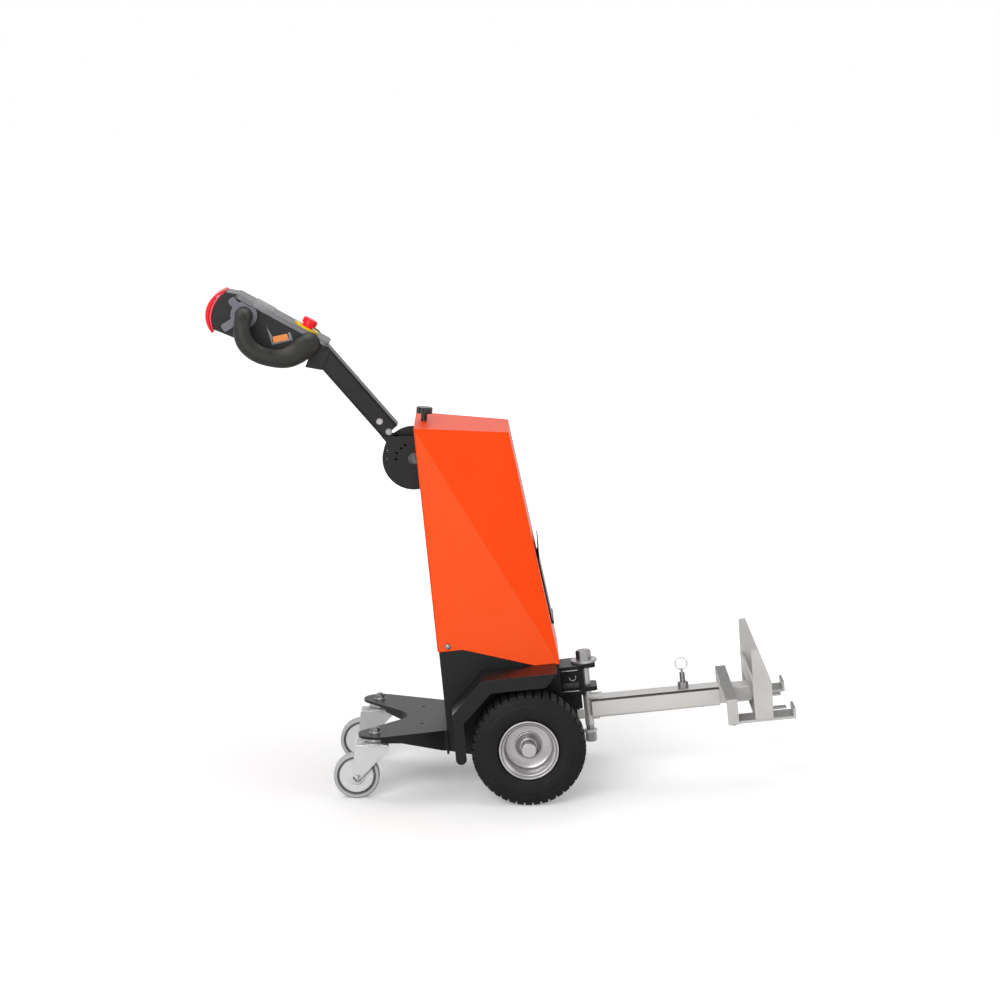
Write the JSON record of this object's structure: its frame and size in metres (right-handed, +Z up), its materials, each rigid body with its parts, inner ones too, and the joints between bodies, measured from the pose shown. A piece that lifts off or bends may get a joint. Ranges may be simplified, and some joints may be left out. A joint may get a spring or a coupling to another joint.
{
  "type": "walk-behind electric tug",
  "caption": "Walk-behind battery tug for factory carts, with powered wheels, swivel castors, a tilting hand tiller and a telescoping front drawbar with a cart coupler.",
  "frame": {"origin": "on the floor below the middle of the machine's bounding box", "axes": "+X forward to the coupler, +Y to the left, +Z up"},
  "size_m": [1.3105, 0.486, 1.121],
  "materials": {
    "orange_paint": "satin powder coat",
    "black_paint": "fine textured powder coat",
    "grey_paint": "satin powder coat",
    "silver_paint": "satin",
    "bare_steel": "brushed",
    "zinc_steel": "zinc plated",
    "drive_iron": "rough",
    "tyre_rubber": "matt",
    "castor_rubber": "matt",
    "castor_plastic": "moulded",
    "head_plastic": "moulded",
    "lever_plastic": "moulded",
    "grip_plastic": "moulded",
    "red_plastic": "gloss",
    "orange_plastic": "gloss",
    "yellow_plastic": "gloss",
    "black_plastic": "moulded",
    "battery_case": "moulded case"
  },
  "bodies": {
    "chassis": {"side_plates": "black_paint", "rear_plate": "black_paint", "front_plate": "black_paint", "deck_plate": "black_paint", "castor_plate": "black_paint", "castor_stems": "zinc_steel", "fenders": "black_paint", "body_cover": "orange_paint", "top_knob": "black_plastic", "lip_panel": "black_paint", "battery_pack": "battery_case", "transaxle": "drive_iron", "axle_stubs": "zinc_steel", "hitch_bracket": "black_paint", "kingpin": "zinc_steel", "tiller_post": "grey_paint", "tiller_pin": "zinc_steel"},
    "tiller": {"tiller_arm": "black_paint", "head_bracket": "black_paint", "tiller_head": "head_plastic", "hand_grips": "grip_plastic", "thumb_levers": "lever_plastic", "belly_switch": "red_plastic", "horn_buttons": "orange_plastic", "stop_ring": "yellow_plastic", "stop_button": "red_plastic"},
    "drawbar": {"drawbar_tube": "bare_steel", "index_plunger": "zinc_steel"},
    "coupler": {"inner_tube": "bare_steel", "cross_bar": "bare_steel", "coupler_base": "bare_steel", "coupler_prongs": "bare_steel", "stop_plate": "bare_steel"},
    "drive_wheel_left": {"tyre_left": "tyre_rubber", "rim_left": "silver_paint"},
    "castor_left": {"castor_fork_left": "zinc_steel", "castor_axle_left": "zinc_steel"},
    "castor_wheel_left": {"castor_tread_left": "castor_rubber", "castor_core_left": "castor_plastic"},
    "drive_wheel_right": {"tyre_right": "tyre_rubber", "rim_right": "silver_paint"},
    "castor_right": {"castor_fork_right": "zinc_steel", "castor_axle_right": "zinc_steel"},
    "castor_wheel_right": {"castor_tread_right": "castor_rubber", "castor_core_right": "castor_plastic"}
  },
  "joints": [
    {"name": "drive_wheel_left_spin", "type": "hinge", "parent": "chassis", "child": "drive_wheel_left", "pos_m": [0.0586, 0.202, 0.127], "axis": [0, 1, 0], "continuous": true},
    {"name": "castor_left_swivel", "type": "hinge", "parent": "chassis", "child": "castor_left", "pos_m": [-0.2824, 0.158, 0.13], "axis": [0, 0, 1], "continuous": true},
    {"name": "castor_wheel_left_spin", "type": "hinge", "parent": "castor_left", "child": "castor_wheel_left", "pos_m": [-0.3234, 0.158, 0.051], "axis": [0, 1, 0], "continuous": true},
    {"name": "drive_wheel_right_spin", "type": "hinge", "parent": "chassis", "child": "drive_wheel_right", "pos_m": [0.0586, -0.202, 0.127], "axis": [0, 1, 0], "continuous": true},
    {"name": "castor_right_swivel", "type": "hinge", "parent": "chassis", "child": "castor_right", "pos_m": [-0.2824, -0.158, 0.13], "axis": [0, 0, 1], "continuous": true},
    {"name": "castor_wheel_right_spin", "type": "hinge", "parent": "castor_right", "child": "castor_wheel_right", "pos_m": [-0.3234, -0.158, 0.051], "axis": [0, 1, 0], "continuous": true},
    {"name": "tiller_tilt", "type": "hinge", "parent": "chassis", "child": "tiller", "pos_m": [-0.19637, 0, 0.74309], "axis": [0, 1, 0], "range_deg": [-35, 20]},
    {"name": "drawbar_yaw", "type": "hinge", "parent": "chassis", "child": "drawbar", "pos_m": [0.19583, 0, 0.18115], "axis": [-0.1011, 0, 0.9949], "range_deg": [-70, 70]},
    {"name": "drawbar_slide", "type": "slide", "parent": "drawbar", "child": "coupler", "axis": [0.9949, 0, 0.1011], "range_m": [0, 0.06]}
  ]
}
